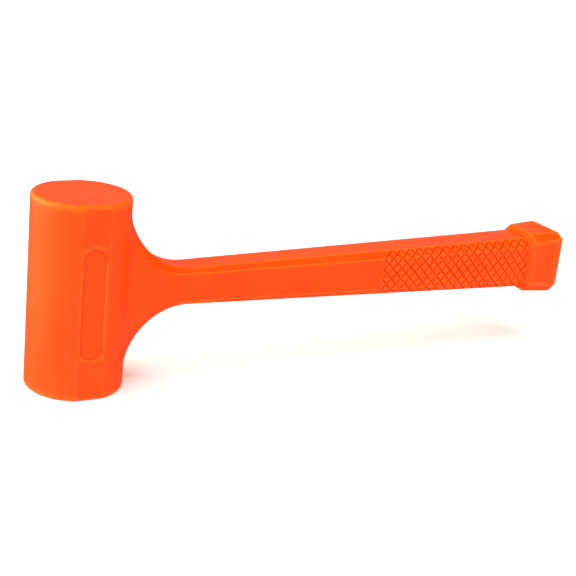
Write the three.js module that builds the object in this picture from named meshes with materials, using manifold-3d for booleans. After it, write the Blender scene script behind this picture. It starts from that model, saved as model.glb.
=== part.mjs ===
// A one-piece moulded dead blow mallet: a soft jacket over a steel canister half full of loose steel shot,
// and over the steel rod that stiffens its handle. Millimetres. The head stands on its lower striking face,
// whose centre is the origin: +Z runs up the head's axis, +X runs along the handle, and the piece is the same
// on both sides of the XZ plane.

import * as THREE from "three";
import { ConvexGeometry } from "three/addons/geometries/ConvexGeometry.js";
import { mergeVertices } from "three/addons/utils/BufferGeometryUtils.js";
import Module from "manifold-3d";

// ---- Driving dimensions -------------------------------------------------------------------------------

// Head, a cylinder with a narrow flat down each side.
const headDiameter = 58;
const headLength = 117;
const flatDepth = 1.15; // how far each side flat is cut below the round
const rimRadius = 2.2;
const rimSteps = 3;

// Name plaque, a shallow recess with round ends in each side flat, left blank.
const plaqueLength = 66.8;
const plaqueWidth = 13.9;
const plaqueDepth = 0.5;

// Handle, an eight-sided bar that grows evenly from the neck to the grip's end.
const reach = 342.7; // from the head's axis to the butt's end face
const neckHeight = 23.3;
const neckThickness = 22.4;
const neckChamfer = 3;
const gripHeight = 35.1;
const gripThickness = 31.4;
const gripChamfer = 5.4;

// Web, which sweeps from the neck up and down the head in two elliptical arcs.
const webLength = 39; // from the head's side to the neck
const webSweep = 45.3; // how far the arcs would climb if they ran their full quarter turn
const webRootDepth = 3; // how far inside the head's side the arcs would end
const webTurn = 0.95 * Math.PI; // where on the ellipse they stop, inside the head

// Butt, a thicker eight-sided block that stops the hand, with a ramp up to it.
const buttLength = 21.6;
const buttStartHeight = 41.6;
const buttStartThickness = 36.6;
const buttEndHeight = 43.6;
const buttEndThickness = 40;
const buttChamferY = 6.1;
const buttStartUpperChamferZ = 5.9; // the upper chamfers narrow towards the end
const buttEndUpperChamferZ = 3.2;
const buttLowerChamferZ = 7;
const rampLength = 3.9;
const locatingHoleDiameter = 5; // where the mould's pin held the end of the rod

// Canister, a steel tube closed by a disc welded into each end.
const canisterDiameter = 44;
const canisterWall = 2;
const canisterLength = 93;
const capThickness = 3;
const capRecess = 1.8; // how far each cap sits inside the tube's end, which leaves room for its weld
const capFitGap = 0.3; // between a cap's edge and the tube

// Handle rod, welded to the canister's side.
const rodDiameter = 10;
const rodEndCover = 9; // jacket left between the rod's end and the butt's end face
const rodEndChamfer = 1;
const rodWeldLeg = 4;

// Shot, steel balls packed in layers.
const ballDiameter = 6.3;
const shotLayers = 13;
const ballsPerLayer = 29; // on average, in a bore six balls wide
const layerPitchPerBall = Math.sqrt(2 / 3); // closest packing

// Clearances.
const jacketGap = 0.3; // between the jacket and the steel it is moulded round
const weldGap = 0.3; // between a weld bead and the pieces it joins
const shotGap = 0.3; // between the loose shot and the canister

const roundSegments = 48;
const arcSegments = 12;

// ---- Places worked out from them ----------------------------------------------------------------------

const headRadius = headDiameter / 2;
const headMiddle = headLength / 2;
const headAcrossFlats = headDiameter - 2 * flatDepth;
const gripEnd = reach - buttLength - rampLength;
const neckPlace = headRadius + webLength;
const canisterRadius = canisterDiameter / 2;
const canisterBore = canisterRadius - canisterWall;
const canisterBottom = (headLength - canisterLength) / 2;
const canisterTop = canisterBottom + canisterLength;
const lowerCapTop = canisterBottom + capRecess + capThickness;
const upperCapBottom = canisterTop - capRecess - capThickness;
const rodRadius = rodDiameter / 2;
const rodEnd = reach - rodEndCover;
const layerPitch = ballDiameter * layerPitchPerBall;
const shotRadius = canisterBore - shotGap;
const layerVolume = (ballsPerLayer * Math.PI * ballDiameter ** 3) / 6;
const layerThickness = layerVolume / (Math.PI * shotRadius ** 2);
const lowestBallCentre = lowerCapTop + shotGap + ballDiameter / 2;

// Half sizes of the handle's eight-sided section at a distance x from the head's axis.
function handleSection(x) {
  const share = (x - neckPlace) / (gripEnd - neckPlace);
  const grown = (atNeck, atGrip) => atNeck + (atGrip - atNeck) * share;
  const chamfer = grown(neckChamfer, gripChamfer);
  return {
    x,
    halfHeight: grown(neckHeight, gripHeight) / 2,
    halfThickness: grown(neckThickness, gripThickness) / 2,
    chamferY: chamfer,
    upperChamferZ: chamfer,
    lowerChamferZ: chamfer,
  };
}

function buttSection(x, height, thickness, upperChamferZ) {
  return {
    x,
    halfHeight: height / 2,
    halfThickness: thickness / 2,
    chamferY: buttChamferY,
    upperChamferZ,
    lowerChamferZ: buttLowerChamferZ,
  };
}

// ---- Solids -------------------------------------------------------------------------------------------

const wasm = await Module();
wasm.setup();

function solid(geometry) {
  const bare = geometry.clone();
  bare.deleteAttribute("normal");
  bare.deleteAttribute("uv");
  const merged = mergeVertices(bare, 1e-4);
  return new wasm.Manifold(
    new wasm.Mesh({
      numProp: 3,
      vertProperties: new Float32Array(merged.attributes.position.array),
      triVerts: new Uint32Array(merged.index.array),
    }),
  );
}

function geometryOf(made) {
  const mesh = made.getMesh();
  const geometry = new THREE.BufferGeometry();
  geometry.setAttribute("position", new THREE.BufferAttribute(mesh.vertProperties, mesh.numProp));
  geometry.setIndex(new THREE.BufferAttribute(mesh.triVerts, 1));
  geometry.computeVertexNormals();
  return geometry;
}

function joined(solids) {
  return solids.reduce((all, next) => all.add(next));
}

// A cylinder along the head's axis.
function upright(radius, bottom, top) {
  const geometry = new THREE.CylinderGeometry(radius, radius, top - bottom, roundSegments);
  geometry.rotateX(Math.PI / 2);
  geometry.translate(0, 0, (bottom + top) / 2);
  return solid(geometry);
}

// A cylinder or cone along the handle's axis.
function along(startRadius, endRadius, start, end) {
  const geometry = new THREE.CylinderGeometry(endRadius, startRadius, end - start, roundSegments);
  geometry.rotateZ(-Math.PI / 2);
  geometry.translate((start + end) / 2, 0, headMiddle);
  return solid(geometry);
}

// A body turned about the head's axis from [radius, height] pairs.
function turned(profile) {
  const points = profile.map(([radius, height]) => new THREE.Vector2(radius, height));
  const geometry = new THREE.LatheGeometry(points, roundSegments);
  geometry.rotateX(Math.PI / 2);
  return solid(geometry);
}

// The eight corners of a section, as points on the handle's axis.
function sectionCorners({ x, halfHeight, halfThickness, chamferY, upperChamferZ, lowerChamferZ }) {
  const corners = [];
  for (const side of [1, -1]) {
    const flatEdge = side * (halfThickness - chamferY);
    corners.push(new THREE.Vector3(x, flatEdge, headMiddle + halfHeight));
    corners.push(new THREE.Vector3(x, side * halfThickness, headMiddle + halfHeight - upperChamferZ));
    corners.push(new THREE.Vector3(x, side * halfThickness, headMiddle - halfHeight + lowerChamferZ));
    corners.push(new THREE.Vector3(x, flatEdge, headMiddle - halfHeight));
  }
  return corners;
}

// A straight eight-sided length between two sections.
function bar(from, to) {
  return solid(new ConvexGeometry([...sectionCorners(from), ...sectionCorners(to)]));
}

// ---- Jacket -------------------------------------------------------------------------------------------

function headShell() {
  const profile = [[0, 0]];
  for (let step = 0; step <= rimSteps; step += 1) {
    const turn = (step / rimSteps) * (Math.PI / 2);
    profile.push([
      headRadius - rimRadius + rimRadius * Math.sin(turn),
      rimRadius - rimRadius * Math.cos(turn),
    ]);
  }
  const upper = profile.map(([radius, height]) => [radius, headLength - height]).reverse();
  const flats = new THREE.BoxGeometry(headDiameter + 2, headAcrossFlats, headLength + 2);
  flats.translate(0, 0, headMiddle);
  return turned([...profile, ...upper]).intersect(solid(flats));
}

// The outline sweeps from inside the head out to the neck along part of an ellipse, above and below.
function webPlate() {
  const { halfHeight, halfThickness, chamferY } = handleSection(neckPlace);
  const arcCentre = halfHeight + webSweep;
  const arcLength = webLength + webRootDepth;
  const outline = new THREE.Shape();
  outline.moveTo(neckPlace, halfHeight);
  outline.absellipse(neckPlace, arcCentre, arcLength, webSweep, -Math.PI / 2, -webTurn, true);
  outline.lineTo(0, outline.currentPoint.y);
  outline.lineTo(0, -outline.currentPoint.y);
  outline.lineTo(neckPlace - arcLength * Math.cos(Math.PI - webTurn), outline.currentPoint.y);
  outline.absellipse(neckPlace, -arcCentre, arcLength, webSweep, webTurn, Math.PI / 2, true);
  const depth = 2 * (halfThickness - chamferY);
  const geometry = new THREE.ExtrudeGeometry(outline, {
    depth,
    curveSegments: arcSegments,
    bevelEnabled: true,
    bevelThickness: chamferY,
    bevelSize: chamferY,
    bevelOffset: -chamferY,
    bevelSegments: 1,
  });
  geometry.translate(0, 0, -depth / 2);
  geometry.rotateX(Math.PI / 2);
  geometry.translate(0, 0, headMiddle);
  return solid(geometry);
}

function handleBar() {
  return bar(handleSection(headRadius + webLength / 2), handleSection(gripEnd));
}

function buttBlock() {
  const start = buttSection(reach - buttLength, buttStartHeight, buttStartThickness, buttStartUpperChamferZ);
  const end = buttSection(reach, buttEndHeight, buttEndThickness, buttEndUpperChamferZ);
  return bar(handleSection(gripEnd), start).add(bar(start, end));
}

// A plate with round ends, which reaches from the plaque's floor out past the flat on one side.
function plaqueCut(side) {
  const radius = plaqueWidth / 2;
  const straight = plaqueLength / 2 - radius;
  const outline = new THREE.Shape();
  outline.moveTo(radius, -straight);
  outline.lineTo(radius, straight);
  outline.absarc(0, straight, radius, 0, Math.PI, false);
  outline.lineTo(-radius, -straight);
  outline.absarc(0, -straight, radius, Math.PI, 2 * Math.PI, false);
  const depth = 2 * plaqueDepth;
  const settings = { depth, curveSegments: arcSegments, bevelEnabled: false };
  const geometry = new THREE.ExtrudeGeometry(outline, settings);
  geometry.translate(0, 0, -depth / 2);
  geometry.rotateX(Math.PI / 2);
  geometry.translate(0, (side * headAcrossFlats) / 2, headMiddle);
  return solid(geometry);
}

// Room for the welded steel core, open to the outside through the locating hole in the butt's end face.
function coreRoom() {
  const canister = upright(canisterRadius + jacketGap, canisterBottom - jacketGap, canisterTop + jacketGap);
  const bore = along(rodRadius + jacketGap, rodRadius + jacketGap, 0, rodEnd + jacketGap);
  const weld = weldCone(weldGap + jacketGap);
  const hole = along(locatingHoleDiameter / 2, locatingHoleDiameter / 2, rodEnd - 1, reach + 1);
  return joined([canister, bore, weld, hole]);
}

function jacket() {
  const outside = joined([headShell(), webPlate(), handleBar(), buttBlock()]);
  return outside.subtract(joined([coreRoom(), plaqueCut(-1), plaqueCut(1)]));
}

// ---- Canister -----------------------------------------------------------------------------------------

function canisterTube() {
  const bore = upright(canisterBore, canisterBottom - 1, canisterTop + 1);
  return upright(canisterRadius, canisterBottom, canisterTop).subtract(bore);
}

// A disc that sits inside the tube's end.
function canisterCap(bottom) {
  return upright(canisterBore - capFitGap, bottom, bottom + capThickness);
}

// A three-cornered bead in the corner between a cap's outer face and the tube. outwards is 1 at the top.
function capWeldBead(capFace, outwards) {
  const wall = canisterBore - weldGap;
  const face = capFace + outwards * weldGap;
  const leg = capRecess - weldGap;
  const corners = [
    [wall, face],
    [wall, face + outwards * leg],
    [wall - leg, face],
  ];
  const loop = outwards > 0 ? corners : corners.reverse();
  return turned([...loop, loop[0]]);
}

// ---- Handle rod ---------------------------------------------------------------------------------------

// The rod's inner end is coped to sit against the round of the canister.
function handleRod() {
  const straight = along(rodRadius, rodRadius, 0, rodEnd - rodEndChamfer);
  const tip = along(rodRadius, rodRadius - rodEndChamfer, rodEnd - rodEndChamfer, rodEnd);
  return straight.add(tip).subtract(upright(canisterRadius + weldGap, 0, headLength));
}

// A cone round the rod's inner end, wider than the weld by at least a margin on every side. It narrows as
// fast as it goes along, so starting it a margin further in widens it there by one more.
function weldCone(margin) {
  const length = canisterWall + rodWeldLeg;
  const narrow = rodRadius + weldGap;
  const start = canisterRadius - canisterWall;
  return along(narrow + length + 2 * margin, narrow + margin, start - margin, start + length + margin);
}

function rodWeldBead() {
  const rodRoom = along(rodRadius + weldGap, rodRadius + weldGap, 0, rodEnd);
  const canisterRoom = upright(canisterRadius + weldGap, 0, headLength);
  return weldCone(0).subtract(rodRoom.add(canisterRoom));
}

// ---- Shot ---------------------------------------------------------------------------------------------

// One layer of balls, as a disc that holds as much steel as they do.
function shotLayer(index) {
  const middle = lowestBallCentre + index * layerPitch;
  return upright(shotRadius, middle - layerThickness / 2, middle + layerThickness / 2);
}

// ---- Materials and assembly ---------------------------------------------------------------------------

const moulding = { color: 0xff5518, roughness: 0.38, metalness: 0 };
const steel = { color: 0x9a9da1, roughness: 0.35, metalness: 1 };
const mildSteel = { color: 0x6f7276, roughness: 0.5, metalness: 1 };
const weldSteel = { color: 0x5a5754, roughness: 0.65, metalness: 0.9 };

function piece(name, made, finish) {
  const mesh = new THREE.Mesh(geometryOf(made), new THREE.MeshStandardMaterial(finish));
  mesh.name = name;
  return mesh;
}

const canister = new THREE.Group();
canister.add(
  piece("canister_tube", canisterTube(), mildSteel),
  piece("canister_lower_cap", canisterCap(lowerCapTop - capThickness), mildSteel),
  piece("canister_upper_cap", canisterCap(upperCapBottom), mildSteel),
  piece("lower_cap_weld_bead", capWeldBead(lowerCapTop - capThickness, -1), weldSteel),
  piece("upper_cap_weld_bead", capWeldBead(upperCapBottom + capThickness, 1), weldSteel),
);

const handleCore = new THREE.Group();
handleCore.add(
  piece("handle_rod", handleRod(), mildSteel),
  piece("rod_weld_bead", rodWeldBead(), weldSteel),
);

const shot = new THREE.Group();
for (let index = 0; index < shotLayers; index += 1) {
  const number = String(index + 1).padStart(2, "0");
  shot.add(piece(`shot_layer_${number}`, shotLayer(index), steel));
}

const mallet = new THREE.Group();
mallet.add(piece("moulded_jacket", jacket(), moulding), canister, handleCore, shot);

export default mallet;
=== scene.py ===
"""Looks of the one-piece moulded dead blow mallet: the soft orange jacket with its knurled grip, and the
welded steel core and the loose shot inside it. Metres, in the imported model's frame: +Z runs up the head's
axis from the lower striking face, and +X runs along the handle."""

import math

import bmesh
import bpy
import numpy as np
from mathutils import Matrix, Vector


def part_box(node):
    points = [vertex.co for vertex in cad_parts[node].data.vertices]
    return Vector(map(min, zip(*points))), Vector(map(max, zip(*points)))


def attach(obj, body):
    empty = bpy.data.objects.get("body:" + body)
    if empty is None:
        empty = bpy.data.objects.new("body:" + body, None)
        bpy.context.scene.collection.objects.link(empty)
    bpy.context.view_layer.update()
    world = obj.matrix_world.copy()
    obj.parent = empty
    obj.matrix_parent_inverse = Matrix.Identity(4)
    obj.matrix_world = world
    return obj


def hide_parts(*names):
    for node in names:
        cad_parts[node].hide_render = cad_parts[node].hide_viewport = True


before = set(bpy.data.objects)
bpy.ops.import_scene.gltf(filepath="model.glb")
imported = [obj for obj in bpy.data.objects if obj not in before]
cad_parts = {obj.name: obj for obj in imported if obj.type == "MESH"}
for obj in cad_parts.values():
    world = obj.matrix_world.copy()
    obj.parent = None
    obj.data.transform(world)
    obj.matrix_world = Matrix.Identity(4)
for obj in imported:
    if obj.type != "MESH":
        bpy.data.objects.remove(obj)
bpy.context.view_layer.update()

MM = 0.001

# ---- Sizes, from the frame where it has them, and as on the CAD jacket otherwise ------------------------

JACKET_LOW, JACKET_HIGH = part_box("moulded_jacket")
HEAD_RADIUS = -JACKET_LOW.x
HEAD_MIDDLE = JACKET_HIGH.z / 2
FLAT_DISTANCE = JACKET_HIGH.y  # from the head's axis to a side flat
REACH = JACKET_HIGH.x  # from the head's axis to the butt's end face
RIM_RADIUS = 2.2 * MM
FLAT_HALF_WIDTH = math.sqrt(HEAD_RADIUS**2 - FLAT_DISTANCE**2)
FLAT_EDGE_SOFTENING = 0.5 * MM
RIM_STEPS = 6
RIM_MARGIN = 1.2 * MM  # from the rim to the first ring of a striking face
NEAR_COLUMNS = 5  # between the web's patch and a flat
FAR_COLUMNS = 16  # between a flat and the middle of the head's far side
CAP_RINGS = [0.75, 0.4]  # sizes of the rings that fill a flat end, as shares of its rim

# Handle, as half thickness and half height at each end of its taper.
NECK_X = 68 * MM
GRIP_END_X = REACH - 25.5 * MM
NECK_HALF = np.array([11.2, 11.65]) * MM
GRIP_HALF = np.array([15.7, 17.55]) * MM
NECK_CHAMFER = 3.0 * MM
GRIP_CHAMFER = 5.4 * MM
HANDLE_EDGE_RADIUS = 1.1 * MM
HANDLE_STEPS = 23  # from the neck to the knurl
STEPS_BEFORE_KNURL = np.array([1.6, 0.9, 0.3]) * MM  # closer rings, which keep the shading there even

BUTT_X = REACH - 21.6 * MM
BUTT_START_HALF = np.array([18.3, 20.8]) * MM
BUTT_END_HALF = np.array([20.0, 21.8]) * MM
# Legs of the butt's chamfers: across, and down the upper and the lower ones.
BUTT_START_LEGS = np.array([6.1, 5.9, 7.0]) * MM
BUTT_END_LEGS = np.array([6.1, 3.2, 7.0]) * MM
BUTT_EDGE_RADIUS = 1.2 * MM
BUTT_LOWER_EDGE_RADIUS = 3.2 * MM
BUTT_RIM_STEPS = 4
BUTT_RIM_MARGIN = 0.8 * MM  # from the rim to the first ring of the end face
BUTT_BLOCK_STEPS = np.array([0, 0.5, 7, 14]) * MM  # rings along the butt, from its start
RAMP_STEPS = 8

# Web: the rounded outline where it leaves the head, inside a rectangular patch of the head's side.
WEB_HALF_WIDTH = 20.5 * MM
WEB_HALF_HEIGHT = 49.0 * MM
WEB_ROOT_POWER = 3.0
PATCH_ANGLE = math.radians(52)
PATCH_HALF_HEIGHT = 53.0 * MM
PATCH_MARGIN = 1.6 * MM  # from the patch to the next row of the head
PATCH_COLUMNS = 22
PATCH_ROWS = 44
WEB_STEPS = 22
# Pulls of the web's curves, along the head and back along the handle. The curves above and below have a
# longer first pull and a shorter last one than those at the sides.
WEB_HEAD_PULL = 10 * MM
WEB_HEAD_PULL_MORE = 2 * MM
WEB_HANDLE_PULL = 30 * MM
WEB_HANDLE_PULL_LESS = 4 * MM

# Knurl: V grooves on two slants that leave diamonds between them.
DIAMOND_LENGTH = 6.98 * MM
DIAMOND_HEIGHT = 7.5 * MM
DIAMOND_COLUMNS = 16.5
DIAMOND_ROWS = 3  # from edge to edge of the grip's front
CHAMFER_ROWS = 1
DIAMOND_CELLS = 10  # mesh cells to a diamond, each way
KNURL_START_X = GRIP_END_X - DIAMOND_COLUMNS * DIAMOND_LENGTH
KNURL_HALF_ROWS = DIAMOND_ROWS / 2 + CHAMFER_ROWS
GROOVE_HALF_WIDTH = 1.05 * MM
GROOVE_DEPTH = 0.85 * MM
KNURL_MARGIN = 0.01  # in columns or rows of diamonds, which settles on what side of the knurl its edges are
OUTER_ROW_START = 0.15  # how many columns sooner the grooves of the outermost half rows start

# Plaque, a shallow blank recess with round ends in each side flat.
PLAQUE_HALF_WIDTH = 6.95 * MM
PLAQUE_HALF_LENGTH = 33.4 * MM
PLAQUE_COLUMNS = 16
PLAQUE_ROWS = 30
# From the flat to the floor: how far outside the plaque's outline, and how deep.
PLAQUE_EDGE = [(0.45, 0), (0.15, 0.05), (0, 0.2), (-0.15, 0.38), (-0.5, 0.48), (-1, 0.5), (-3, 0.5)]
PLAQUE_LIP = np.array(PLAQUE_EDGE) * MM

# Core room inside the jacket, which fits the steel with a small gap.
ROOM_GAP = 0.3 * MM
CANISTER_LOW, CANISTER_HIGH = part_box("canister_tube")
CANISTER_WALL = 2 * MM
ROOM_RADIUS = CANISTER_HIGH.x + ROOM_GAP
ROOM_HALF_HEIGHT = (CANISTER_HIGH.z - CANISTER_LOW.z) / 2 + ROOM_GAP
ROOM_PATCH_ANGLE = math.radians(60)
ROOM_PATCH_HALF_HEIGHT = 40 * MM
ROD_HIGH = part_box("handle_rod")[1]
ROD_ROOM_RADIUS = ROD_HIGH.y + ROOM_GAP
WELD_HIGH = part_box("rod_weld_bead")[1]
WELD_ROOM_GAP = 0.6 * MM
WELD_ROOM_ROOT = 10.2 * MM  # radius of the weld's room where it meets the canister's
HOLE_RADIUS = 2.5 * MM  # where the mould's pin held the end of the rod
HOLE_EDGE_RADIUS = 0.4 * MM
BORE_STEPS = 12
FIRST_MARK_ANGLE = math.radians(-135)  # of a circle's first place, which faces the first mark of a section
ROOM_COLUMNS = 42  # round the room, outside its patch

BALL_DIAMETER = 6.3 * MM
SHOT_LAYERS = 13
LATTICE_REACH = 4  # balls each way from the middle one, which is more than fit


# ---- Mesh tools -----------------------------------------------------------------------------------------

def new_object(name, data):
    made = bpy.data.objects.new(name, data)
    bpy.context.scene.collection.objects.link(made)
    return made


def mesh_object(name, build):
    """A mesh object whose bmesh is filled by build."""
    mesh = bpy.data.meshes.new(name)
    work = bmesh.new()
    build(work)
    bmesh.ops.recalc_face_normals(work, faces=work.faces)
    work.to_mesh(mesh)
    work.free()
    return new_object(name, mesh)


def smooth(made, sharp_from):
    """Shades an object smooth, apart from edges that turn by more than an angle."""
    made.data.shade_smooth()
    made.data.set_sharp_from_angle(angle=math.radians(sharp_from))


def add_ring(work, points):
    return [work.verts.new(point) for point in points]


def join_rings(work, ring, following):
    for i, vert in enumerate(ring):
        j = (i + 1) % len(ring)
        work.faces.new([vert, ring[j], following[j], following[i]])


def close_end(work, rim):
    """Fills a flat end with rings that shrink towards its middle, and a fan inside them."""
    middle = sum((vert.co for vert in rim), Vector()) / len(rim)
    outer = rim
    for shrink in CAP_RINGS:
        inner = add_ring(work, [middle.lerp(vert.co, shrink) for vert in rim])
        join_rings(work, outer, inner)
        outer = inner
    centre = work.verts.new(middle)
    for vert, following in zip(outer, outer[1:] + outer[:1]):
        work.faces.new([vert, following, centre])


def drum_skin(work, places, patches):
    """Quads over places[row][column], closed round its columns, with rectangular patches left out. A patch is
    its first row, last row, first column and last column. Returns the rings of vertices round both ends, and
    round each patch: up its first column, along its last row, down its last column and back."""
    count = len(places[0])
    verts = {}

    def vert(row, column):
        key = row, column % count
        if key not in verts:
            verts[key] = work.verts.new(places[row][column % count])
        return verts[key]

    def left_out(row, column):
        return any(low <= row < high and first <= column < last for low, high, first, last in patches)

    for row in range(len(places) - 1):
        for column in range(count):
            if not left_out(row, column):
                corners = [(row, column), (row, column + 1), (row + 1, column + 1), (row + 1, column)]
                work.faces.new([vert(*corner) for corner in corners])
    ends = [[vert(row, column) for column in range(count)] for row in (0, len(places) - 1)]
    edges = []
    for low, high, first, last in patches:
        ring = [(row, first) for row in range(low, high)]
        ring += [(high, column) for column in range(first, last)]
        ring += [(row, last) for row in range(high, low, -1)]
        ring += [(low, column) for column in range(last, first, -1)]
        edges.append([vert(*place) for place in ring])
    return ends, edges


def fill_patch(work, ring, rows, columns):
    """Fills a flat ring, which is counted as a patch's is, with a grid of quads."""
    left = ring[:rows + 1]
    upper = ring[rows:rows + columns + 1]
    right = ring[rows + columns:2 * rows + columns + 1][::-1]
    lower = ring[:1] + ring[:2 * rows + columns - 1:-1]
    grid = [lower]
    for start, end in zip(left[1:-1], right[1:-1]):
        inner = [work.verts.new(start.co.lerp(end.co, step / columns)) for step in range(1, columns)]
        grid.append([start] + inner + [end])
    grid.append(upper)
    for line, following in zip(grid, grid[1:]):
        for i in range(columns):
            work.faces.new([line[i], line[i + 1], following[i + 1], following[i]])


# ---- Jacket: the eight-sided section --------------------------------------------------------------------

# The faces of a section in order: front, upper front chamfer, top, upper back chamfer, back, lower back
# chamfer, bottom, lower front chamfer. A mark is a place on the section: a face, a share of the way between
# its edges' roundings, and whether it is instead the middle of the rounding where the face starts.
FACE_CELLS = [DIAMOND_ROWS * DIAMOND_CELLS, DIAMOND_CELLS, 8, DIAMOND_CELLS] * 2
HALF_TURN = math.radians(22.5)  # half the angle that the section turns at a corner
TANGENT = math.tan(HALF_TURN)  # from a corner to the end of its rounding, in edge radii
CORNER_PULL = 1 / math.cos(HALF_TURN) - 1  # from a corner to the middle of its rounding, in edge radii
CHAMFER_SHRINK = 2 - math.sqrt(2)  # how much shorter a chamfer's legs are on a section inset by 1
PLAIN = 99.0  # the row of diamonds given to marks that have no knurl
ROUNDING_ROWS = 0.05  # rows of diamonds that half an edge's rounding takes up


def ring_marks():
    marks = []
    for face, cells in enumerate(FACE_CELLS):
        marks.append((face, 0.0, True))
        marks += [(face, step / cells, False) for step in range(cells + 1)]
    middle = marks.index((7, 0.5, False))
    return marks[middle:] + marks[:middle]


MARKS = ring_marks()
MARK_FACE = np.array([face for face, _, _ in MARKS])
MARK_SHARE = np.array([share for _, share, _ in MARKS])
MARK_IS_CORNER = np.array([is_corner for _, _, is_corner in MARKS])
LOWER_CORNERS = [0, 5, 6, 7]


def mark_rows():
    """Each mark's place in rows of diamonds from the middle of the front or back, and how far it is there."""
    rows = np.full(len(MARKS), PLAIN)
    half = DIAMOND_ROWS / 2
    far = half + CHAMFER_ROWS
    front = {7: (-far, -half), 0: (-half, half), 1: (half, far)}
    back = {3: (far, half), 4: (half, -half), 5: (-half, -far)}
    for face, (start, end) in (front | back).items():
        rounding = math.copysign(ROUNDING_ROWS, end - start)
        between = start + rounding + (end - start - 2 * rounding) * MARK_SHARE
        on_face = MARK_FACE == face
        rows[on_face] = np.where(MARK_IS_CORNER, start, between)[on_face]
    return rows


MARK_ROWS = mark_rows()


def handle_half(x):
    """Half thickness and half height of the plain handle at x, and its chamfers' three legs."""
    share = (x - NECK_X) / (GRIP_END_X - NECK_X)
    chamfer = NECK_CHAMFER + (GRIP_CHAMFER - NECK_CHAMFER) * share
    return NECK_HALF + (GRIP_HALF - NECK_HALF) * share, np.full(3, chamfer)


def section_half(x):
    """The same for handle, ramp and butt together."""
    half, legs = handle_half(x)
    if x < BUTT_X:
        rise = max(0, (x - GRIP_END_X) / (BUTT_X - GRIP_END_X))
        return half + (BUTT_START_HALF - half) * rise, legs + (BUTT_START_LEGS - legs) * rise
    share = (x - BUTT_X) / (REACH - BUTT_X)
    half = BUTT_START_HALF + (BUTT_END_HALF - BUTT_START_HALF) * share
    return half, BUTT_START_LEGS + (BUTT_END_LEGS - BUTT_START_LEGS) * share


def section(x, inset=0.0, upper_radius=HANDLE_EDGE_RADIUS, lower_radius=HANDLE_EDGE_RADIUS):
    """Points of the ring of marks at x and their outward normals."""
    radius = np.full(len(FACE_CELLS), upper_radius)
    radius[LOWER_CORNERS] = lower_radius
    (thick, high), legs = section_half(x)
    thick, high = thick - inset, high - inset
    leg_y, upper_leg, lower_leg = legs - CHAMFER_SHRINK * inset
    front = [(-thick, lower_leg - high), (-thick, high - upper_leg), (leg_y - thick, high)]
    back = [(thick - leg_y, high), (thick, high - upper_leg), (thick, lower_leg - high)]
    corners = np.array(front + back + [(thick - leg_y, -high), (leg_y - thick, -high)])
    sides = np.roll(corners, -1, axis=0) - corners
    length = np.linalg.norm(sides, axis=1)
    unit = sides / length[:, None]
    face_normal = np.stack([-unit[:, 1], unit[:, 0]], axis=1)
    start, end = TANGENT * radius, TANGENT * np.roll(radius, -1)
    along = start[MARK_FACE] + (length - start - end)[MARK_FACE] * MARK_SHARE
    at_corner = face_normal[MARK_FACE] + face_normal[MARK_FACE - 1]
    at_corner /= np.linalg.norm(at_corner, axis=1)[:, None]
    normal = np.where(MARK_IS_CORNER[:, None], at_corner, face_normal[MARK_FACE])
    flat = corners[MARK_FACE] + unit[MARK_FACE] * np.where(MARK_IS_CORNER, 0, along)[:, None]
    flat -= normal * (MARK_IS_CORNER * CORNER_PULL * radius[MARK_FACE])[:, None]
    points = np.column_stack([np.full(len(MARKS), x), flat[:, 0], flat[:, 1] + HEAD_MIDDLE])
    normals = np.column_stack([np.zeros(len(MARKS)), normal])
    return points, normals


# ---- Jacket: head and plaques ---------------------------------------------------------------------------

def head_columns():
    """Angles from +X of the head's columns, round from the web's patch, and the far flat's first column."""
    edge = math.acos(FLAT_HALF_WIDTH / HEAD_RADIUS)
    soften = FLAT_EDGE_SOFTENING / HEAD_RADIUS
    flat_x = np.linspace(1, -1, PLAQUE_COLUMNS + 1) * (FLAT_HALF_WIDTH - FLAT_EDGE_SOFTENING)
    patch = list(np.linspace(-PATCH_ANGLE, PATCH_ANGLE, PATCH_COLUMNS + 1))
    near = list(np.linspace(PATCH_ANGLE, edge - soften, NEAR_COLUMNS + 1)[1:])
    flat = list(np.arccos(flat_x / HEAD_RADIUS))
    far = list(np.linspace(math.pi - edge + soften, math.pi, FAR_COLUMNS + 1))
    half = near + [edge] + flat + [math.pi - edge] + far
    other_half = [2 * math.pi - angle for angle in reversed(half[:-1])]
    return patch + half + other_half, len(patch) + len(near) + 1


def head_rows():
    """Heights from the middle and insets of the head's rows, and the web patch's first row."""
    rim = [(HEAD_MIDDLE - RIM_RADIUS + RIM_RADIUS * math.sin(turn), RIM_RADIUS * (1 - math.cos(turn)))
           for turn in np.linspace(0, math.pi / 2, RIM_STEPS + 1)]
    upper = [(PATCH_HALF_HEIGHT + PATCH_MARGIN, 0.0)] + rim + [(HEAD_MIDDLE, RIM_RADIUS + RIM_MARGIN)]
    middle = [(height, 0.0) for height in np.linspace(-PATCH_HALF_HEIGHT, PATCH_HALF_HEIGHT, PATCH_ROWS + 1)]
    return [(-height, inset) for height, inset in reversed(upper)] + middle + upper, len(upper)


def head_place(angle, height, inset):
    x, y = HEAD_RADIUS * math.cos(angle), HEAD_RADIUS * math.sin(angle)
    shrink = 1 - inset / HEAD_RADIUS
    if abs(y) > FLAT_DISTANCE:
        return x * shrink, math.copysign(FLAT_DISTANCE - inset, y), HEAD_MIDDLE + height
    return x * shrink, y * shrink, HEAD_MIDDLE + height


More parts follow.
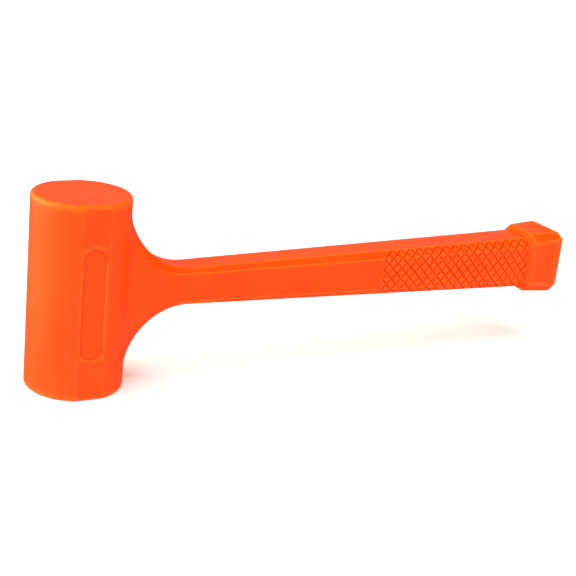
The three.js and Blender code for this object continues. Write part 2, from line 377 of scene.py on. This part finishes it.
def add_head(work):
    """The head's skin with its plaques. Returns the ring where the web starts."""
    columns, flat_column = head_columns()
    rows, patch_row = head_rows()
    plaque_low = patch_row + (PATCH_ROWS - PLAQUE_ROWS) // 2
    plaque_rows = (plaque_low, plaque_low + PLAQUE_ROWS)
    mirrored = PATCH_COLUMNS - flat_column - PLAQUE_COLUMNS + len(columns)
    patches = [
        (patch_row, patch_row + PATCH_ROWS, 0, PATCH_COLUMNS),
        (*plaque_rows, flat_column, flat_column + PLAQUE_COLUMNS),
        (*plaque_rows, mirrored, mirrored + PLAQUE_COLUMNS),
    ]
    places = [[head_place(angle, *row) for angle in columns] for row in rows]
    ends, (web_edge, *plaque_edges) = drum_skin(work, places, patches)
    for end in ends:
        close_end(work, end)
    for edge in plaque_edges:
        add_plaque(work, edge)
    return web_edge


def add_plaque(work, edge):
    """A recess in a side flat, whose rings follow the plaque's outline."""
    side = math.copysign(1, edge[0].co.y)
    straight = PLAQUE_HALF_LENGTH - PLAQUE_HALF_WIDTH
    outer = edge
    for outside, depth in PLAQUE_LIP:
        points = []
        for vert in edge:
            middle = Vector((0, HEAD_MIDDLE + max(-straight, min(straight, vert.co.z - HEAD_MIDDLE))))
            outward = (vert.co.xz - middle).normalized()
            x, z = middle + outward * (PLAQUE_HALF_WIDTH + outside)
            points.append((x, side * (FLAT_DISTANCE - depth), z))
        inner = add_ring(work, points)
        join_rings(work, outer, inner)
        outer = inner
    fill_patch(work, outer, PLAQUE_ROWS, PLAQUE_COLUMNS)


# ---- Jacket: web ----------------------------------------------------------------------------------------

def on_drum(radius, y, z):
    """Place on an upright drum round the head's axis, on the handle's side, z from the head's middle."""
    return math.sqrt(radius**2 - y * y), y, HEAD_MIDDLE + z


def web_root(edge_yz):
    """The rounded outline on the head from which the web's curves leave, one place for each mark."""
    scaled = edge_yz / np.array([HEAD_RADIUS * math.sin(PATCH_ANGLE), PATCH_HALF_HEIGHT])
    size = (np.abs(scaled) ** WEB_ROOT_POWER).sum(axis=1) ** (1 / WEB_ROOT_POWER)
    return scaled / size[:, None] * np.array([WEB_HALF_WIDTH, WEB_HALF_HEIGHT])


def web_curves(root_yz):
    """Rings of a skin that leaves the head along its surface and arrives along the handle. Each mark has one
    cubic curve, whose pulls are a little shorter or longer above and below than at the sides."""
    root = np.array([on_drum(HEAD_RADIUS, y, z) for y, z in root_yz])
    neck, _ = section(NECK_X)
    beyond, _ = section(GRIP_END_X)
    arrive = (beyond - neck) / (GRIP_END_X - NECK_X)
    outward = np.column_stack([root[:, 0], root[:, 1], np.zeros(len(root))]) / HEAD_RADIUS
    chord = neck - root
    leave = chord - outward * (chord * outward).sum(axis=1)[:, None]
    leave /= np.linalg.norm(leave, axis=1)[:, None]
    rise = np.abs(leave[:, 2:])
    first = root + leave * (WEB_HEAD_PULL + WEB_HEAD_PULL_MORE * rise)
    last = neck - arrive * (WEB_HANDLE_PULL - WEB_HANDLE_PULL_LESS * rise)
    for share in np.linspace(0, 1, WEB_STEPS + 1)[1:-1]:
        rest = 1 - share
        yield rest**3 * root + 3 * rest**2 * share * first + 3 * rest * share**2 * last + share**3 * neck


def add_web(work, edge):
    """The web's skin. Returns its last ring, just before the neck."""
    edge_yz = np.array([(vert.co.y, vert.co.z - HEAD_MIDDLE) for vert in edge])
    root_yz = web_root(edge_yz)
    rings = [edge]
    for share in (0.5, 1.0):
        between = edge_yz + (root_yz - edge_yz) * share
        rings.append(add_ring(work, [on_drum(HEAD_RADIUS, y, z) for y, z in between]))
    rings += [add_ring(work, points) for points in web_curves(root_yz)]
    for ring, following in zip(rings, rings[1:]):
        join_rings(work, ring, following)
    return rings[-1]


# ---- Jacket: handle, knurl and butt ---------------------------------------------------------------------

def groove_depth(column, rows):
    """Depth of the knurl's grooves at a place counted in columns and rows of diamonds."""
    between_grooves = 1 / math.hypot(1 / DIAMOND_LENGTH, 1 / DIAMOND_HEIGHT)
    rising = np.abs(column + rows - np.round(column + rows))
    falling = np.abs(column - rows - np.round(column - rows))
    away = np.minimum(rising, falling) * between_grooves
    past_tips = np.abs(rows) - (KNURL_HALF_ROWS - 0.5)
    start = np.where(past_tips > 0, past_tips - OUTER_ROW_START, -0.5 - KNURL_MARGIN)
    inside = (column > start) & (column < DIAMOND_COLUMNS - 0.5 + KNURL_MARGIN)
    inside &= np.abs(rows) < KNURL_HALF_ROWS - KNURL_MARGIN
    return np.where(inside, np.clip(1 - away / GROOVE_HALF_WIDTH, 0, 1) * GROOVE_DEPTH, 0)


def knurl_column(x):
    return (x - KNURL_START_X) / DIAMOND_LENGTH - 0.5


def add_handle(work, ring):
    """The plain handle from the neck, and then the knurled grip. Returns the ring at the grip's end."""
    plain = np.linspace(NECK_X, KNURL_START_X, HANDLE_STEPS + 1)[:-1]
    for x in [*plain, *(KNURL_START_X - STEPS_BEFORE_KNURL)]:
        following = add_ring(work, section(x)[0])
        join_rings(work, ring, following)
        ring = following
    stations = np.linspace(KNURL_START_X, GRIP_END_X, round(DIAMOND_COLUMNS * DIAMOND_CELLS) + 1)
    following = add_knurled_ring(work, stations[0])
    join_rings(work, ring, following)
    for x, next_x in zip(stations, stations[1:]):
        ring, following = following, add_knurled_ring(work, next_x)
        join_knurled(work, ring, following, x, next_x)
    return following


def add_knurled_ring(work, x):
    points, outward = section(x)
    return add_ring(work, points - outward * groove_depth(knurl_column(x), MARK_ROWS)[:, None])


def join_knurled(work, ring, following, x, next_x):
    """Quads between two knurled rings, each cut into four triangles round a centre at its own depth, so that
    the grooves' walls run along the triangles' edges."""
    next_mark = np.roll(np.arange(len(MARKS)), -1)
    rows = (MARK_ROWS + MARK_ROWS[next_mark]) / 2
    middle_x = (x + next_x) / 2
    points, outward = section(middle_x)
    centres = (points + points[next_mark]) / 2
    outward = outward + outward[next_mark]
    outward /= np.linalg.norm(outward, axis=1)[:, None]
    centres = centres - outward * groove_depth(knurl_column(middle_x), rows)[:, None]
    for i, vert in enumerate(ring):
        j = next_mark[i]
        corners = [vert, ring[j], following[j], following[i]]
        if abs(rows[i]) > KNURL_HALF_ROWS:
            work.faces.new(corners)
            continue
        centre = work.verts.new(centres[i])
        for corner, next_corner in zip(corners, corners[1:] + corners[:1]):
            work.faces.new([corner, next_corner, centre])


def butt_stations():
    """Places and insets of the ramp's and the butt's rings, and how far each is from handle to butt."""
    shares = [step / RAMP_STEPS for step in range(1, RAMP_STEPS)]
    ramp = [(GRIP_END_X + (BUTT_X - GRIP_END_X) * share, 0.0, share) for share in shares]
    block = [(BUTT_X + step, 0.0, 1.0) for step in BUTT_BLOCK_STEPS]
    rim = [(REACH - BUTT_EDGE_RADIUS * (1 - math.sin(turn)), BUTT_EDGE_RADIUS * (1 - math.cos(turn)), 1.0)
           for turn in np.linspace(0, math.pi / 2, BUTT_RIM_STEPS + 1)]
    return ramp + block + rim + [(REACH, BUTT_EDGE_RADIUS + BUTT_RIM_MARGIN, 1.0)]


def add_butt(work, ring):
    for x, inset, share in butt_stations():
        upper_radius = HANDLE_EDGE_RADIUS + (BUTT_EDGE_RADIUS - HANDLE_EDGE_RADIUS) * share
        lower_radius = HANDLE_EDGE_RADIUS + (BUTT_LOWER_EDGE_RADIUS - HANDLE_EDGE_RADIUS) * share
        following = add_ring(work, section(x, inset, upper_radius, lower_radius)[0])
        join_rings(work, ring, following)
        ring = following
    return ring


# ---- Jacket: room for the core --------------------------------------------------------------------------

def circle_yz(radius):
    """A circle round the handle's axis with one place for each mark, in the marks' order."""
    angles = FIRST_MARK_ANGLE - np.arange(len(MARKS)) * 2 * math.pi / len(MARKS)
    return [(radius * math.cos(angle), radius * math.sin(angle)) for angle in angles]


def bore_profile():
    """The bore as (x, radius): in at the butt, through the locating hole, and along the rod to its weld."""
    rod_room_end = ROD_HIGH.x + ROOM_GAP
    weld_room_end = WELD_HIGH.x + WELD_ROOM_GAP
    rounding = [HOLE_EDGE_RADIUS * (1 - math.sin(math.radians(turn))) for turn in (0, 45, 90)]
    hole = [(REACH - inwards, HOLE_RADIUS + wider) for inwards, wider in zip(reversed(rounding), rounding)]
    hole += [(rod_room_end, HOLE_RADIUS)]
    rod = [(x, ROD_ROOM_RADIUS) for x in np.linspace(rod_room_end, weld_room_end, BORE_STEPS + 1)]
    return hole + rod + [(weld_room_end, ROD_ROOM_RADIUS + WELD_ROOM_GAP)]


def add_core_room(work, ring):
    """The room inside the jacket, which opens at the locating hole in the butt's end face."""
    for x, radius in bore_profile():
        following = add_ring(work, [(x, y, HEAD_MIDDLE + z) for y, z in circle_yz(radius)])
        join_rings(work, ring, following)
        ring = following
    root = add_ring(work, [on_drum(ROOM_RADIUS, y, z) for y, z in circle_yz(WELD_ROOM_ROOT)])
    join_rings(work, ring, root)
    rest = np.linspace(ROOM_PATCH_ANGLE, 2 * math.pi - ROOM_PATCH_ANGLE, ROOM_COLUMNS + 1)[1:-1]
    columns = [*np.linspace(-ROOM_PATCH_ANGLE, ROOM_PATCH_ANGLE, PATCH_COLUMNS + 1), *rest]
    patch_heights = np.linspace(-ROOM_PATCH_HALF_HEIGHT, ROOM_PATCH_HALF_HEIGHT, PATCH_ROWS + 1)
    heights = [-ROOM_HALF_HEIGHT, *patch_heights, ROOM_HALF_HEIGHT]
    places = [[(ROOM_RADIUS * math.cos(angle), ROOM_RADIUS * math.sin(angle), HEAD_MIDDLE + height)
               for angle in columns] for height in heights]
    ends, (edge,) = drum_skin(work, places, [(1, 1 + PATCH_ROWS, 0, PATCH_COLUMNS)])
    join_rings(work, root, edge)
    for end in ends:
        close_end(work, end)


def build_jacket(work):
    ring = add_head(work)
    ring = add_web(work, ring)
    ring = add_handle(work, ring)
    ring = add_butt(work, ring)
    add_core_room(work, ring)


# ---- Shot and weld beads --------------------------------------------------------------------------------

def ball_places(is_shifted):
    """Centres of a layer of close-packed balls that fits the canister's bore."""
    shift = BALL_DIAMETER * np.array([0.5, math.sqrt(3) / 6]) * is_shifted
    room = CANISTER_HIGH.x - CANISTER_WALL - BALL_DIAMETER / 2
    steps = range(-LATTICE_REACH, LATTICE_REACH + 1)
    along, across = BALL_DIAMETER * np.array([(1, 0), (0.5, math.sqrt(3) / 2)])
    places = [shift + along * i + across * j for i in steps for j in steps]
    return [place for place in places if np.linalg.norm(place) < room]


def build_balls(node, is_shifted):
    """A layer of shot in its node's place. Every other layer is shifted, to lie in the hollows below it."""
    low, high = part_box(node)
    height = (low.z + high.z) / 2

    def build(work):
        for x, y in ball_places(is_shifted):
            bmesh.ops.create_icosphere(work, subdivisions=2, radius=BALL_DIAMETER / 2,
                                       matrix=Matrix.Translation((x, y, height)))
    return build


def build_bead(steps, section_at):
    """A closed bead round a joint. section_at gives its section at each share of the turn."""
    def build(work):
        rings = [add_ring(work, section_at(step / steps)) for step in range(steps)]
        for ring, following in zip(rings, rings[1:] + rings[:1]):
            join_rings(work, ring, following)
    return build


RIPPLE_LENGTH = 2.6 * MM
RIPPLE_DEPTH = 0.09  # as a share of the bead's leg
BEAD_FILL = 0.86  # how much of its leg a bead keeps between ripples, so that its round face has room
BEAD_TURNS = [math.radians(turn) for turn in range(0, 91, 15)]
CAP_BEAD_STEPS = 384
ROD_BEAD_STEPS = 104


def ripple(share, length):
    """The scale of a bead's section, which dips between the ripples left by each dab of the torch."""
    count = round(length / RIPPLE_LENGTH)
    return BEAD_FILL + RIPPLE_DEPTH * abs(math.sin(math.pi * count * share))


def cap_bead_section(node, outwards):
    """Section of the bead between a cap and the tube. outwards is 1 at the top of the canister, -1 below."""
    low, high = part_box(node)
    leg = high.z - low.z
    face = low.z if outwards > 0 else high.z

    def section_at(share):
        size = leg * ripple(share, 2 * math.pi * high.x)
        profile = [(high.x, face)]
        for turn in BEAD_TURNS:
            profile.append((high.x - size * math.cos(turn), face + outwards * size * math.sin(turn)))
        angle = 2 * math.pi * share
        return [(radius * math.cos(angle), radius * math.sin(angle), z) for radius, z in profile]
    return section_at


def rod_bead_section(share):
    """Section of the bead round the rod, in the corner between it and the canister's round side."""
    angle = 2 * math.pi * share
    y, z = math.cos(angle), math.sin(angle)
    corner = Vector(on_drum(ROOM_RADIUS, ROD_ROOM_RADIUS * y, ROD_ROOM_RADIUS * z))
    on_rod = Vector((WELD_HIGH.x, corner.y, corner.z))
    wide = ROD_ROOM_RADIUS + WELD_HIGH.x - corner.x
    on_canister = Vector(on_drum(ROOM_RADIUS, wide * y, wide * z))
    size = ripple(share, 2 * math.pi * ROD_ROOM_RADIUS)
    legs = on_rod - corner, on_canister - corner
    face = [corner + (legs[0] * math.cos(turn) + legs[1] * math.sin(turn)) * size for turn in BEAD_TURNS]
    return [corner, *face]


# ---- Materials ------------------------------------------------------------------------------------------

class Material:
    """A material's node tree, with short calls for what the surfaces here share."""

    def __init__(self, name):
        self.made = bpy.data.materials.new(name)
        self.made.use_nodes = True
        self.tree = self.made.node_tree
        self.shader = self.tree.nodes["Principled BSDF"]
        self.place = self.tree.nodes.new("ShaderNodeTexCoord").outputs["Object"]
        self.height = None

    def node(self, kind, inputs, **settings):
        """A new node. An input's value is a number, a colour or another node's output."""
        made = self.tree.nodes.new(kind)
        for key, value in settings.items():
            setattr(made, key, value)
        for key, value in inputs.items():
            if isinstance(value, bpy.types.NodeSocket):
                self.tree.links.new(value, made.inputs[key])
            else:
                made.inputs[key].default_value = value
        return made

    def noise(self, size, detail=3.0, stretch=(1, 1, 1)):
        """Noise from 0 to 1, with features about size across, and longer along an axis of small stretch."""
        scaled = self.node("ShaderNodeMapping", {"Vector": self.place, "Scale": [s / size for s in stretch]})
        made = self.node("ShaderNodeTexNoise", {"Vector": scaled.outputs[0], "Scale": 1.0, "Detail": detail})
        return made.outputs["Fac"]

    def spread(self, value, low, high, start=0.0, end=1.0):
        """Takes value from low..high to start..end, and stops at both ends."""
        inputs = {"Value": value, "From Min": low, "From Max": high, "To Min": start, "To Max": end}
        return self.node("ShaderNodeMapRange", inputs).outputs["Result"]

    def times(self, first, second):
        return self.node("ShaderNodeMath", {0: first, 1: second}, operation="MULTIPLY").outputs[0]

    def plus(self, first, second):
        return self.node("ShaderNodeMath", {0: first, 1: second}, operation="ADD").outputs[0]

    def blend(self, share, first, second):
        """A colour that goes from first to second as share goes from 0 to 1."""
        made = self.tree.nodes.new("ShaderNodeMix")
        made.data_type = "RGBA"
        factor, first_in, second_in = made.inputs[0], made.inputs[6], made.inputs[7]
        for socket, value in ((factor, share), (first_in, first), (second_in, second)):
            if isinstance(value, bpy.types.NodeSocket):
                self.tree.links.new(value, socket)
            else:
                socket.default_value = value
        return made.outputs[2]

    def edges(self):
        """1 on outward edges and 1 in inward ones, as two outputs."""
        pointiness = self.node("ShaderNodeNewGeometry", {}).outputs["Pointiness"]
        return self.spread(pointiness, 0.506, 0.52), self.spread(pointiness, 0.497, 0.465)

    def bump(self, height, distance):
        """Adds relief of a real height, over any that is there already."""
        inputs = {"Height": height, "Distance": distance, "Strength": 1.0}
        if self.height is not None:
            inputs["Normal"] = self.height
        self.height = self.node("ShaderNodeBump", inputs).outputs[0]

    def finish(self, colour, roughness):
        for name, output in (("Base Color", colour), ("Roughness", roughness), ("Normal", self.height)):
            self.tree.links.new(output, self.shader.inputs[name])
        return self.made


def rgb(red, green, blue):
    return red, green, blue, 1.0


def orange_moulding():
    """Soft orange plastic with a fine mould texture, painted shade in its grooves, and paler edges that are
    partly rubbed wear and partly a painted highlight.
    """
    made = Material("orange_moulding")
    made.shader.inputs["Specular IOR Level"].default_value = 0.14
    clouds = made.spread(made.noise(38 * MM, 2), 0.35, 0.65)
    specks = made.spread(made.noise(1.6 * MM, 4), 0.3, 0.7)
    outer, inner = made.edges()
    patchy = made.spread(made.noise(4 * MM, 5), 0.3, 0.65, 0.4, 0.9)
    colour = made.blend(clouds, rgb(1, 0.054, 0.0008), rgb(1, 0.064, 0.0014))
    colour = made.blend(made.times(specks, 0.2), colour, rgb(0.97, 0.05, 0.0018))
    # Painted shade: the colour is darkened in the grooves and other inward edges.
    colour = made.blend(made.times(inner, 0.9), colour, rgb(0.68, 0.018, 0.0004))
    # Paler outward edges in patches: partly rubbed wear, partly a painted highlight along the edges and rim.
    colour = made.blend(made.times(made.times(outer, patchy), 0.6), colour, rgb(1, 0.17, 0.01))
    roughness = made.plus(made.spread(made.noise(9 * MM, 4), 0.3, 0.7, 0.3, 0.38), made.times(outer, 0.06))
    made.bump(made.noise(30 * MM, 1), 0.12 * MM)
    made.bump(made.noise(0.45 * MM, 2), 0.006 * MM)
    return made.finish(colour, roughness)


def steel(name, dark, light, grain, roughness, relief):
    """Bare steel with a grain. grain is its stretch along each axis, and roughness its lowest and highest."""
    made = Material(name)
    made.shader.inputs["Metallic"].default_value = 1.0
    outer, inner = made.edges()
    streaks = made.noise(0.7 * MM, 5, grain)
    clouds = made.spread(made.noise(14 * MM, 3), 0.35, 0.65)
    colour = made.blend(clouds, dark, light)
    colour = made.blend(made.times(streaks, 0.5), colour, dark)
    colour = made.blend(made.times(inner, 0.5), colour, rgb(0.05, 0.045, 0.04))
    colour = made.blend(made.times(outer, 0.6), colour, rgb(0.75, 0.75, 0.74))
    made.bump(streaks, relief)
    return made, colour, made.spread(streaks, 0.3, 0.7, *roughness)


def canister_steel():
    """Drawn tube and punched discs, with a thin oily film in patches."""
    made, colour, roughness = steel("canister_steel", rgb(0.2, 0.2, 0.205), rgb(0.38, 0.38, 0.385),
                                    (1, 1, 0.05), (0.32, 0.55), 0.01 * MM)
    oil = made.spread(made.noise(22 * MM, 4), 0.5, 0.62)
    colour = made.blend(made.times(oil, 0.5), colour, rgb(0.13, 0.11, 0.085))
    return made.finish(colour, made.plus(roughness, made.times(oil, -0.12)))


def rod_steel():
    """Hot-rolled bar, dark with mill scale that is worn off in places."""
    made, colour, roughness = steel("rod_steel", rgb(0.09, 0.095, 0.11), rgb(0.22, 0.22, 0.23),
                                    (0.06, 1, 1), (0.38, 0.62), 0.015 * MM)
    scale = made.spread(made.noise(6 * MM, 6), 0.45, 0.55)
    colour = made.blend(made.times(scale, 0.6), colour, rgb(0.045, 0.045, 0.055))
    return made.finish(colour, made.plus(roughness, made.times(scale, 0.08)))


def weld_metal():
    """Weld bead, browned and blued by its own heat, with fine spatter."""
    made, colour, roughness = steel("weld_metal", rgb(0.13, 0.12, 0.115), rgb(0.3, 0.29, 0.28),
                                    (1, 1, 1), (0.4, 0.7), 0.03 * MM)
    heat = made.spread(made.noise(5 * MM, 3), 0.42, 0.6)
    colour = made.blend(made.times(heat, 0.55), colour, rgb(0.16, 0.09, 0.14))
    made.bump(made.spread(made.noise(0.9 * MM, 2), 0.55, 0.7), 0.05 * MM)
    return made.finish(colour, roughness)


def shot_steel():
    """Hardened balls, bright under light scuffs from striking each other."""
    made, colour, roughness = steel("shot_steel", rgb(0.33, 0.33, 0.34), rgb(0.52, 0.52, 0.53),
                                    (1, 1, 1), (0.16, 0.34), 0.004 * MM)
    scuffs = made.spread(made.noise(1.4 * MM, 6), 0.56, 0.62)
    colour = made.blend(made.times(scuffs, 0.5), colour, rgb(0.17, 0.17, 0.18))
    return made.finish(colour, made.plus(roughness, made.times(scuffs, 0.25)))


# ---- The mallet -----------------------------------------------------------------------------------------

MATERIALS = {
    "orange_moulding": orange_moulding(),
    "canister_steel": canister_steel(),
    "rod_steel": rod_steel(),
    "weld_metal": weld_metal(),
    "shot_steel": shot_steel(),
}


def add_piece(name, build, sharp_from, body, slot, node):
    """A piece of this script's own that stands for a CAD node."""
    made = mesh_object(name, build)
    smooth(made, sharp_from)
    made.data.materials.append(MATERIALS[slot])
    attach(made, body)
    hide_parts(node)


def add_mallet():
    add_piece("jacket_skin", build_jacket, 35, "mallet", "orange_moulding", "moulded_jacket")
    for end, outwards in (("lower", -1), ("upper", 1)):
        node = f"{end}_cap_weld_bead"
        build = build_bead(CAP_BEAD_STEPS, cap_bead_section(node, outwards))
        add_piece(f"{end}_cap_weld", build, 50, "mallet", "weld_metal", node)
    build = build_bead(ROD_BEAD_STEPS, rod_bead_section)
    add_piece("rod_weld", build, 50, "mallet", "weld_metal", "rod_weld_bead")
    for layer in range(1, SHOT_LAYERS + 1):
        node = f"shot_layer_{layer:02d}"
        build = build_balls(node, is_shifted=layer % 2 == 0)
        add_piece(f"shot_balls_{layer:02d}", build, 60, "shot", "shot_steel", node)
    kept = {"canister_tube": "canister_steel", "canister_lower_cap": "canister_steel",
            "canister_upper_cap": "canister_steel", "handle_rod": "rod_steel"}
    for node, slot in kept.items():
        for material_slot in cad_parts[node].material_slots:
            material_slot.material = MATERIALS[slot]


# ---- Camera, floor and light ----------------------------------------------------------------------------

CAMERA_LENS = 79.69  # in millimetres, for a sensor 36 mm wide
CAMERA_DISTANCE = 813.4 * MM
CAMERA_AZIMUTH = math.radians(-29.87)
CAMERA_ELEVATION = math.radians(19.04)
CAMERA_ROLL = math.radians(6.1)  # as the mallet tips onto its butt by about this much when it is put down
CAMERA_TARGET = Vector((141.84 * MM, 2.88 * MM, HEAD_MIDDLE - 10.65 * MM))


def add_camera():
    data = bpy.data.cameras.new("camera")
    data.lens = CAMERA_LENS
    data.sensor_width = 36
    camera = new_object("camera", data)
    level = Vector((math.sin(CAMERA_AZIMUTH), -math.cos(CAMERA_AZIMUTH), 0))
    back = level * math.cos(CAMERA_ELEVATION) + Vector((0, 0, math.sin(CAMERA_ELEVATION)))
    right = Vector((0, 0, 1)).cross(back).normalized()
    up = back.cross(right)
    tilted_right = right * math.cos(CAMERA_ROLL) + up * math.sin(CAMERA_ROLL)
    tilted_up = up * math.cos(CAMERA_ROLL) - right * math.sin(CAMERA_ROLL)
    place = Matrix((tilted_right, tilted_up, back)).transposed().to_4x4()
    place.translation = CAMERA_TARGET + back * CAMERA_DISTANCE
    camera.matrix_world = place
    bpy.context.scene.camera = camera


FLOOR_REACH = 30.0  # each way from the head
LIGHTS_AIM = Vector((0.12, 0, HEAD_MIDDLE))  # about the middle of the mallet


def add_floor():
    def build(work):
        bmesh.ops.create_grid(work, x_segments=1, y_segments=1, size=FLOOR_REACH)
    floor = mesh_object("floor", build)
    made = bpy.data.materials.new("floor")
    made.use_nodes = True
    shader = made.node_tree.nodes["Principled BSDF"]
    shader.inputs["Base Color"].default_value = rgb(0.97, 0.97, 0.97)
    shader.inputs["Roughness"].default_value = 0.9
    floor.data.materials.append(made)
    floor.visible_glossy = False


def add_area(name, place, size, power, colour):
    """A square light that faces the middle of the mallet."""
    data = bpy.data.lights.new(name, "AREA")
    data.color = colour
    data.size = size
    data.energy = power
    light = new_object(name, data)
    light.location = place
    light.rotation_euler = (LIGHTS_AIM - light.location).to_track_quat("-Z", "Y").to_euler()


def add_lights():
    sun = bpy.data.lights.new("overhead", "SUN")
    sun.energy = 3.6
    sun.angle = math.radians(70)
    overhead = new_object("overhead", sun)
    overhead.visible_glossy = False
    overhead.rotation_euler = (math.radians(20), math.radians(-10), 0)
    add_area("left_box", (-1.3, 0.65, 0.45), 1.5, 61, (1, 0.94, 0.75))
    add_area("front_box", (0.8, -1.4, 0.65), 0.3, 4.5, (1, 0.9, 0.5))
    add_area("back_box", (0.9, 1.6, 0.6), 1.3, 1.3, (1, 1, 1))
    world = bpy.data.worlds.new("world")
    world.use_nodes = True
    sky = world.node_tree.nodes["Background"]
    sky.inputs["Color"].default_value = rgb(1, 1, 1)
    sky.inputs["Strength"].default_value = 0.12
    bpy.context.scene.world = world


add_mallet()
add_camera()
add_floor()
add_lights()
bpy.context.scene.view_settings.view_transform = "Standard"
